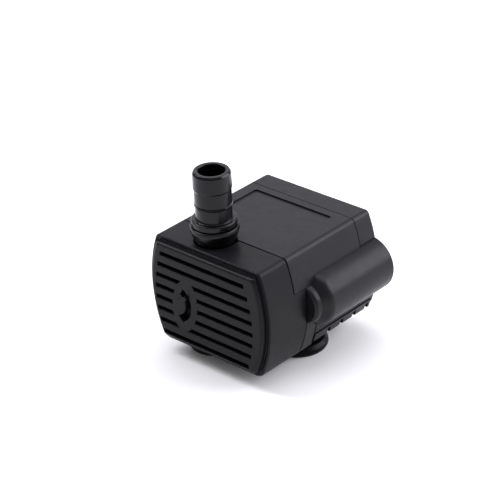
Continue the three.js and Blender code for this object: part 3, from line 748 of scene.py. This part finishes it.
def make_housing():
    front_y = SEAM_TOP_Y + GAP
    seam_z = TOP_Z - SEAM_DROP + GAP
    floor_z = TRAY_BOTTOM_Z + TRAY_FLOOR + GAP
    shell = body_loft("housing_shell", rounded([
        (HOUSING_WALL, front_y), (0, front_y, EDGE_R),
        (0, REAR_SEAM_Y, SEAM_EDGE), (HOUSING_WALL, REAR_SEAM_Y),
    ], steps=4))
    low_rim = keep(rim_cut(FRONT_WALL_Y, -1), block(-FAR, FAR, 0, FAR, -FAR, seam_z))
    cut(
        shell,
        block(-FAR, FAR, 0, FRONT_WALL_Y, -FAR, seam_z),
        low_rim,
        prism(section(HOUSING_WALL), 0, FRONT_WALL_Y),
        block(-FAR, FAR, BAND_REAR_Y, FAR, -FAR, floor_z),
        below_tray(TRAY_TOP_Z + GAP, TRAY_WALL + GAP, BAND_REAR_Y, FAR),
    )
    groove = cut(
        prism(section(-OVER), BAND_REAR_Y - GROOVE_WIDTH, BAND_REAR_Y + HAIR),
        prism(section(GROOVE_DEPTH), 0, FAR),
    )
    cut(shell, keep(groove, block(-FAR, FAR, 0, FAR, TRAY_BOTTOM_Z, BAND_GROOVE_TOP)))
    x0, x1, y0, y1 = RECESS
    floor = TOP_Z - RECESS_DEPTH
    corners = [(x0, y0, 1), (x1, y0, 1), (x1, y1, 1), (x0, y1, 1)]
    outline = rounded(corners, closed=True)
    recess = loft("tool", [[(x, y, z) for x, y in outline] for z in (floor, TOP_Z + OVER)])
    nose_y = BARREL_FRONT_Y + BARREL_NOSE_LENGTH
    barrel = turned("tool", rounded([
        (0, BARREL_FRONT_Y),
        (BARREL_NOSE, BARREL_FRONT_Y, 1.3),
        (BARREL_NOSE + NOSE_DRAFT, BARREL_FRONT_Y + NOSE_STEP, 0.3),
        (BARREL_R, nose_y + NOSE_OVER, 3.5),
        (BARREL_R, BODY_Y, BARREL_EDGE),
        (0, BODY_Y),
    ]), (BARREL_X, BARREL_Z), "y", 144)
    cut(shell, recess)
    join(shell, barrel)
    cavity = cut(
        prism(section(HOUSING_WALL), FRONT_WALL_Y + FRONT_WALL, REAR_SEAM_Y + HAIR),
        block(-FAR, FAR, FRONT_WALL_Y, FAR, -FAR, floor_z + HOUSING_FLOOR),
    )
    inner_r = BARREL_R - BARREL_WALL
    bore_y = nose_y + BARREL_WALL
    bore = turned("tool", [
        (0, bore_y - BORE_NOSE), (BARREL_NOSE, bore_y - BORE_NOSE), (inner_r, bore_y + BORE_SHOULDER),
        (inner_r, BODY_Y - BARREL_WALL), (0, BODY_Y - BARREL_WALL),
    ], (BARREL_X, BARREL_Z), "y", 96)
    hole_y = BODY_Y - GLAND_HOLE
    cut(shell, cavity, bore, rod(GLAND_R + GAP, (BARREL_X, BARREL_Z), hole_y, FAR, "y", 72))
    well_r = MAGNET_R + RUN_GAP
    washer_y = edges_of("rear_thrust_washer")[0][1]
    well_end = edges_of("rear_bushing")[1][1] + GAP
    centre = (AXIS_X, AXIS_Z)
    join(shell, rod(well_r + WELL_WALL, centre, FRONT_WALL_Y, well_end + WELL_WALL, "y"))
    cut(
        shell,
        rod(well_r, centre, 0, washer_y + GAP, "y"),
        rod(BUSHING_R + GAP, centre, 0, well_end, "y", 48),
        rod(SOCKET_NECK + SLIP, (OUTLET_X, OUTLET_Y), TOP_Z - SEAM_DROP, TOP_Z + OVER, "z", 96),
    )
    return shell


def make_rear_cover():
    front_y = REAR_SEAM_Y + SEAM_GAP
    shell = body_loft("rear_cover_shell", rounded([
        (HOUSING_WALL, front_y),
        (0, front_y, SEAM_EDGE),
        (0, BODY_Y, TOP_EDGE),
        (TOP_EDGE + REAR_CORE, BODY_Y),
    ], steps=7))
    wall_y = BODY_Y - REAR_WALL
    inside_inset = HOUSING_WALL + GAP / 3
    cut(
        shell,
        prism(section(inside_inset), 0, wall_y),
        rod(BARREL_R + GAP, (BARREL_X, BARREL_Z), 0, FAR, "y", 144),
        block(-FAR, FAR, 0, FAR, -FAR, TRAY_BOTTOM_Z + TRAY_FLOOR + GAP),
        below_tray(TRAY_TOP_Z + GAP, TRAY_WALL + GAP, 0, TRAY_REAR + GAP),
    )
    return shell


# --------------------------------------------------------------- base tray
def make_tray():
    wrap = body_loft("base_tray_shell", rounded([
        (TRAY_WALL, TRAY_FRONT), (-TRAY_PROUD, TRAY_FRONT, 0.25),
        (-TRAY_PROUD, TRAY_REAR, 0.25), (TRAY_WALL, TRAY_REAR),
    ], steps=3))
    keep(wrap, block(-FAR, FAR, 0, FAR, TRAY_BOTTOM_Z, TRAY_TOP_Z))
    room = prism(section(TRAY_WALL), 0, FAR)
    cut(wrap, keep(room, block(-FAR, FAR, -OVER, FAR + OVER, TRAY_BOTTOM_Z + TRAY_FLOOR, FAR)))
    for name in ("foot_right", "foot_rear_left"):
        x, y, _ = centre_of(name)
        boss = rounded([
            (0, BOTTOM_Z), (FOOT_BOSS, BOTTOM_Z, 0.4), (FOOT_BOSS, TRAY_BOTTOM_Z, 0.3),
            (FOOT_BOSS + BOSS_FLARE, TRAY_BOTTOM_Z + BOSS_SINK), (0, TRAY_BOTTOM_Z + BOSS_SINK),
        ])
        join(wrap, turned("tool", boss, (x, y), "z"))
        hole_top = TRAY_BOTTOM_Z + TRAY_FLOOR + OVER
        cut(wrap, rod(FOOT_NECK + GAP, (x, y), 0, hole_top, "z", 48))
    count = int((TRAY_REAR - TRAY_FRONT - NOTCH_WIDTH) // NOTCH_PITCH)
    notch_z = TRAY_BOTTOM_Z + NOTCH_HEIGHT
    for i in range(count):
        y = TRAY_FRONT + NOTCH_PITCH * (i + 1)
        notch = cut(prism(section(-OVER), y, y + NOTCH_WIDTH), prism(section(NOTCH_DEPTH), 0, FAR))
        cut(wrap, keep(notch, block(-FAR, FAR, 0, FAR, TRAY_BOTTOM_Z - OVER, notch_z)))
    return wrap


# ---------------------------------------------------------------- soft parts
def make_foot(node):
    low, high = edges_of(node)
    x, y = (low[0] + high[0]) / 2, (low[1] + high[1]) / 2
    radius = (high[0] - low[0]) / 2
    plug_top = high[2]
    seat = BOTTOM_Z - GAP
    return turned("rubber_" + node, rounded([
        (0, CUP_HEIGHT),
        (CUP_R, CUP_SHOULDER, 3),
        (radius - RIM_INNER, 0, 0.6),
        (radius - RIM_OUTER, 0, 0.3),
        (radius, RIM_LOW, 0.5),
        (radius, RIM_HIGH, 0.8),
        (radius - WAIST_INSET, WAIST_Z, 1.2),
        (FOOT_BOSS + BOSS_FLARE, seat - SEAT_STEP, 0.8),
        (FOOT_BOSS, seat, 0.2),
        (FOOT_NECK, seat, 0.15),
        (FOOT_NECK, plug_top, 0.4),
        (0, plug_top),
    ]), (x, y), "z", 96)


def make_gland():
    wall_y = BODY_Y - BARREL_WALL
    low_y = edges_of("cable_gland")[0][1]
    outer = GLAND_R + GLAND_COLLAR
    return turned("cable_boot", rounded([
        (CABLE_R, low_y, 0.2),
        (outer, low_y, 0.4),
        (outer, wall_y - GAP, 0.2),
        (GLAND_R, wall_y - GAP),
        (GLAND_R, BODY_Y + GAP),
        (outer, BODY_Y + GAP, 0.2),
        (outer - BOOT_TAPER, GLAND_Y - BOOT_SHOULDER, 0.6),
        (CABLE_R + BOOT_END, GLAND_Y, 0.4),
        (CABLE_R, GLAND_Y, 0.3),
    ], closed=True), (BARREL_X, BARREL_Z), "y", 96)


# ---------------------------------------------------------------- materials
class Shader:
    """A Principled material with the few node chains the pump needs."""

    def __init__(self, name, color, roughness, specular=0.5, metallic=0.0):
        self.material = bpy.data.materials.new(name)
        self.material.use_nodes = True
        self.tree = self.material.node_tree
        self.main = self.tree.nodes["Principled BSDF"]
        self.color = color
        self.roughness = roughness
        self.main.inputs["Specular IOR Level"].default_value = specular
        self.main.inputs["Metallic"].default_value = metallic
        self.main.inputs["Base Color"].default_value = (*color, 1)
        self.main.inputs["Roughness"].default_value = roughness
        self.where = self.tree.nodes.new("ShaderNodeTexCoord").outputs["Object"]
        self.heights = []

    def link(self, output, socket):
        self.tree.links.new(output, socket)

    def noise(self, size_mm, detail=3.0, rough=0.55, stretch=None):
        """Noise whose features are about size_mm across."""
        node = self.tree.nodes.new("ShaderNodeTexNoise")
        node.inputs["Scale"].default_value = 1 / (size_mm * MM)
        node.inputs["Detail"].default_value = detail
        node.inputs["Roughness"].default_value = rough
        if stretch:
            mapping = self.tree.nodes.new("ShaderNodeMapping")
            mapping.inputs["Scale"].default_value = stretch
            mapping.inputs["Rotation"].default_value = (0.3, 0.5, 0.9)
            self.link(self.where, mapping.inputs["Vector"])
            self.link(mapping.outputs["Vector"], node.inputs["Vector"])
        else:
            self.link(self.where, node.inputs["Vector"])
        return node.outputs["Fac"]

    def cells(self, size_mm):
        node = self.tree.nodes.new("ShaderNodeTexVoronoi")
        node.inputs["Scale"].default_value = 1 / (size_mm * MM)
        self.link(self.where, node.inputs["Vector"])
        return node.outputs["Distance"]

    def bands(self, pitch_mm, direction, wobble=0.0):
        """Bands across one axis, pitch_mm apart."""
        node = self.tree.nodes.new("ShaderNodeTexWave")
        node.wave_type = "BANDS"
        node.bands_direction = direction
        node.inputs["Scale"].default_value = math.pi / 10 / (pitch_mm * MM)
        node.inputs["Distortion"].default_value = wobble
        node.inputs["Detail Scale"].default_value = 2.0
        self.link(self.where, node.inputs["Vector"])
        return node.outputs["Fac"]

    def span(self, value, low, high, start=0.3, end=0.7):
        node = self.tree.nodes.new("ShaderNodeMapRange")
        node.inputs["From Min"].default_value = start
        node.inputs["From Max"].default_value = end
        node.inputs["To Min"].default_value = low
        node.inputs["To Max"].default_value = high
        self.link(value, node.inputs["Value"])
        return node.outputs["Result"]

    def tint(self, value, dark, light, start=0.3, end=0.7):
        """Base colour between two strengths of the main colour."""
        ramp = self.tree.nodes.new("ShaderNodeValToRGB")
        ramp.color_ramp.elements[0].position = start
        ramp.color_ramp.elements[1].position = end
        ramp.color_ramp.elements[0].color = (*[c * dark for c in self.color], 1)
        ramp.color_ramp.elements[1].color = (*[min(c * light, 1) for c in self.color], 1)
        self.link(value, ramp.inputs["Fac"])
        self.link(ramp.outputs["Color"], self.main.inputs["Base Color"])

    def sheen(self, value, spread, start=0.3, end=0.7):
        low, high = self.roughness - spread, self.roughness + spread
        self.link(self.span(value, low, high, start, end), self.main.inputs["Roughness"])

    def bump(self, value, height_mm, strength=1.0):
        node = self.tree.nodes.new("ShaderNodeBump")
        node.inputs["Distance"].default_value = height_mm * MM
        node.inputs["Strength"].default_value = strength
        self.link(value, node.inputs["Height"])
        if self.heights:
            self.link(self.heights[-1], node.inputs["Normal"])
        self.heights.append(node.outputs["Normal"])
        self.link(node.outputs["Normal"], self.main.inputs["Normal"])

    def coat(self, weight, roughness):
        self.main.inputs["Coat Weight"].default_value = weight
        self.main.inputs["Coat Roughness"].default_value = roughness


def moulded(name, color, roughness, specular, grain=0.35, height=0.012):
    """Satin moulded plastic: fine grain, faint flow marks and light scuffs."""
    shader = Shader(name, color, roughness, specular)
    shader.tint(shader.noise(9, 4), 0.86, 1.14)
    shader.sheen(shader.noise(2.5, 5), 0.05)
    shader.bump(shader.noise(14, 2), 0.05)
    shader.bump(shader.noise(1.4, 3), height * 0.8)
    shader.bump(shader.noise(grain, 2), height)
    scuffs = shader.noise(0.5, 2, 0.5, (1, 0.05, 1))
    shader.bump(shader.span(scuffs, 0, 1, 0.62, 0.72), height * 0.3)
    return shader.material


def glossy(name, color, roughness, specular):
    """Smoother moulded plastic, with faint draw marks and polish clouds."""
    shader = Shader(name, color, roughness, specular)
    shader.tint(shader.noise(5, 4), 0.8, 1.2)
    shader.sheen(shader.noise(1.6, 5), 0.07)
    shader.bump(shader.noise(3.5, 3), 0.03)
    shader.bump(shader.noise(0.5, 3), 0.004)
    shader.bump(shader.bands(0.7, "Z", 1.5), 0.005)
    return shader.material


def rubbery(name, color, roughness, coat):
    """Soft rubber: fine pitting and a cloudy sheen, under a thin coat if one is set."""
    shader = Shader(name, color, roughness, 0.09)
    shader.tint(shader.noise(3, 5), 0.75, 1.3)
    shader.sheen(shader.noise(1.2, 4), 0.08)
    shader.bump(shader.noise(4, 2), 0.06)
    shader.bump(shader.cells(0.45), 0.01)
    shader.coat(coat, 0.22)
    return shader.material


def make_materials():
    made = {
        # the cover's plastic is the body's black plastic made darker and less shiny: painted shade
        # for the dimmer light that falls on the front cover and regulator
        "cover": moulded("cover_black_painted_shade", (0.0065, 0.0063, 0.0075), 0.34, 0.115),
        "body": moulded("body_black", (0.0075, 0.0073, 0.0088), 0.35, 0.19),
        "outlet": glossy("outlet_black", (0.0018, 0.0018, 0.0022), 0.21, 0.24),
        "foot": rubbery("foot_rubber", (0.002, 0.002, 0.002), 0.36, 0.0),
        "seal": rubbery("seal_rubber", (0.02, 0.02, 0.021), 0.45, 0.1),
    }

    shader = Shader("impeller_white", (0.66, 0.67, 0.64), 0.45, 0.45)
    shader.tint(shader.noise(2.5, 4), 0.9, 1.05)
    shader.sheen(shader.noise(1.0, 4), 0.07)
    shader.bump(shader.noise(0.5, 3), 0.01)
    made["impeller"] = shader.material

    shader = Shader("magnet_ferrite", (0.06, 0.06, 0.066), 0.42, 0.5, 0.35)
    shader.tint(shader.cells(0.35), 0.7, 1.5, 0.1, 0.7)
    shader.sheen(shader.noise(0.8, 4), 0.12)
    shader.bump(shader.noise(0.25, 3), 0.012)
    shader.bump(shader.bands(0.6, "Y", 1.0), 0.006)
    made["magnet"] = shader.material

    shader = Shader("ceramic_white", (0.82, 0.8, 0.74), 0.22, 0.55)
    shader.tint(shader.noise(0.8, 5), 0.93, 1.04)
    shader.sheen(shader.noise(0.5, 3), 0.06)
    shader.bump(shader.noise(0.2, 2), 0.002)
    shader.coat(0.3, 0.08)
    made["ceramic"] = shader.material

    shader = Shader("stacked_steel", (0.33, 0.33, 0.26), 0.42, 0.5, 0.9)
    shader.tint(shader.bands(0.5, "Y"), 0.55, 1.15, 0.1, 0.5)
    shader.sheen(shader.noise(1.5, 4), 0.1)
    shader.bump(shader.bands(0.5, "Y"), 0.05)
    shader.bump(shader.noise(0.4, 3), 0.008)
    made["steel"] = shader.material

    shader = Shader("bobbin_nylon", (0.76, 0.72, 0.6), 0.5, 0.45)
    shader.tint(shader.noise(3, 4), 0.9, 1.06)
    shader.sheen(shader.noise(1.1, 3), 0.06)
    shader.bump(shader.noise(0.6, 3), 0.01)
    shader.main.inputs["Subsurface Weight"].default_value = 0.15
    shader.main.inputs["Subsurface Scale"].default_value = 0.6 * MM
    made["nylon"] = shader.material

    shader = Shader("copper_winding", (0.62, 0.24, 0.09), 0.3, 0.5, 0.85)
    shader.tint(shader.bands(0.28, "X", 0.6), 0.45, 1.2, 0.1, 0.7)
    shader.sheen(shader.noise(0.9, 4), 0.08)
    shader.bump(shader.bands(0.28, "X", 0.6), 0.06)
    shader.coat(0.5, 0.12)
    made["copper"] = shader.material

    shader = Shader("potting_resin", (0.014, 0.014, 0.015), 0.24, 0.5)
    shader.tint(shader.noise(6, 4), 0.8, 1.3)
    shader.sheen(shader.noise(3, 4), 0.08)
    shader.bump(shader.noise(7, 2), 0.15)
    shader.bump(shader.span(shader.cells(2.2), 0, 1, 0.0, 0.18), 0.05)
    made["resin"] = shader.material

    for key, color in (("brown", (0.16, 0.066, 0.03)), ("blue", (0.03, 0.085, 0.33))):
        shader = Shader("lead_" + key, color, 0.38, 0.5)
        shader.tint(shader.noise(1.8, 4), 0.85, 1.15)
        shader.sheen(shader.noise(0.7, 3), 0.07)
        shader.bump(shader.noise(0.5, 2), 0.008)
        made[key] = shader.material

    shader = Shader("studio_floor", (0.93, 0.93, 0.92), 0.7, 0.2)
    shader.tint(shader.noise(60, 3), 0.99, 1.0)
    shader.bump(shader.noise(0.6, 2), 0.01)
    made["floor"] = shader.material
    return made


# ----------------------------------------------------------------- assembly
materials = make_materials()
SHARP = math.radians(33)
WELD = 0.002
SLIVER = 0.001
NORMAL_WEIGHT = 80


def finish(obj, body, node, material):
    """Smooth faces with crisp edges, a material, and a place on its body."""
    bm = bmesh.new()
    bm.from_mesh(obj.data)
    bmesh.ops.remove_doubles(bm, verts=bm.verts, dist=WELD * MM)
    bmesh.ops.dissolve_degenerate(bm, edges=bm.edges, dist=SLIVER * MM)
    for face in bm.faces:
        face.smooth = True
    for edge in bm.edges:
        edge.smooth = edge.is_manifold and edge.calc_face_angle(0) < SHARP
    bm.to_mesh(obj.data)
    bm.free()
    obj.data.materials.clear()
    obj.data.materials.append(materials[material])
    weighted = obj.modifiers.new("weighted", "WEIGHTED_NORMAL")
    weighted.keep_sharp = True
    weighted.weight = NORMAL_WEIGHT
    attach(obj, body)
    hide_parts(node)


finish(make_front_cover(), "cover", "front_cover", "cover")
finish(make_regulator(), "regulator", "flow_regulator", "cover")
finish(make_nozzle(), "nozzle", "outlet_nozzle", "outlet")
finish(make_nozzle_ring(), "nozzle", "nozzle_o_ring", "seal")
finish(make_volute(), "motor", "volute_cover", "outlet")
finish(make_volute_ring(), "motor", "volute_seal", "seal")
finish(make_impeller(), "rotor", "impeller", "impeller")
finish(make_magnet(), "rotor", "rotor_magnet", "magnet")
finish(make_housing(), "motor", "motor_housing", "body")
finish(make_rear_cover(), "motor", "rear_cover", "body")
finish(make_tray(), "motor", "base_tray", "body")
finish(make_gland(), "motor", "cable_gland", "seal")
for foot, body in (
    ("foot_front_left", "cover"), ("foot_right", "motor"), ("foot_rear_left", "motor"),
):
    finish(make_foot(foot), body, foot, "foot")

KEPT = {
    "rotor_shaft": "ceramic",
    "front_thrust_washer": "ceramic",
    "rear_thrust_washer": "ceramic",
    "front_bushing": "seal",
    "rear_bushing": "seal",
    "stator_core": "steel",
    "upper_bobbin": "nylon",
    "lower_bobbin": "nylon",
    "upper_coil": "copper",
    "lower_coil": "copper",
    "potting_resin": "resin",
    "brown_lead": "brown",
    "blue_lead": "blue",
}
for node, material in KEPT.items():
    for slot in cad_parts[node].material_slots:
        slot.material = materials[material]

# ------------------------------------------------------------ floor and light
FLOOR_HALF = 2500.0
floor = mesh_object("studio_floor", [
    (-FLOOR_HALF, -FLOOR_HALF, 0), (FLOOR_HALF, -FLOOR_HALF, 0),
    (FLOOR_HALF, FLOOR_HALF, 0), (-FLOOR_HALF, FLOOR_HALF, 0),
], [(0, 1, 2, 3)])
floor.data.materials.append(materials["floor"])

LIGHT_AIM = Vector((0, 0, 0.025))


def softbox(name, place, size, power, color=(0.98, 0.965, 1.05)):
    light = bpy.data.lights.new(name, "AREA")
    light.shape = "RECTANGLE"
    light.size, light.size_y = size
    light.energy = power
    light.color = color
    obj = bpy.data.objects.new(name, light)
    obj.location = place
    obj.rotation_mode = "QUATERNION"
    obj.rotation_quaternion = (LIGHT_AIM - Vector(place)).to_track_quat("-Z", "Y")
    scene.collection.objects.link(obj)


softbox("back_left", (-0.85, 0.88, 0.62), (1.3, 0.7), 2.6)
softbox("right_back", (0.75, 0.78, 0.6), (1.1, 0.9), 16)
softbox("overhead", (-0.15, 0.35, 1.5), (1.6, 1.4), 18)
softbox("left_side", (-0.95, -0.35, 1.1), (0.35, 0.9), 13)

world = bpy.data.worlds.new("studio")
world.use_nodes = True
world.node_tree.nodes["Background"].inputs["Color"].default_value = (0.98, 0.99, 1, 1)
world.node_tree.nodes["Background"].inputs["Strength"].default_value = 0.4
scene.world = world
scene.view_settings.view_transform = "Standard"

# ------------------------------------------------------------------- camera
AZIMUTH = math.radians(43.485)
ELEVATION = math.radians(28.51)
ROLL = math.radians(-3.017)
DISTANCE = 0.6232
LENS = 147.7
SENSOR = 36
AIM_X = 16.735
AIM_RISE = 11.52
look_at = Vector(((MIDDLE_X + AIM_X) * MM, FRONT_Y * MM, (TOP_Z + AIM_RISE) * MM))

back = Vector((
    math.sin(AZIMUTH) * math.cos(ELEVATION),
    -math.cos(AZIMUTH) * math.cos(ELEVATION),
    math.sin(ELEVATION),
))
level = Vector((math.cos(AZIMUTH), math.sin(AZIMUTH), 0))
upward = back.cross(level)
right = level * math.cos(ROLL) + upward * math.sin(ROLL)
up = upward * math.cos(ROLL) - level * math.sin(ROLL)
camera_data = bpy.data.cameras.new("camera")
camera_data.lens = LENS
camera_data.sensor_width = SENSOR
camera_data.clip_start = 0.01
camera_data.clip_end = 20
camera = bpy.data.objects.new("camera", camera_data)
turn = Matrix((right, up, back)).transposed().to_4x4()
camera.matrix_world = Matrix.Translation(look_at + back * DISTANCE) @ turn
scene.collection.objects.link(camera)
scene.camera = camera
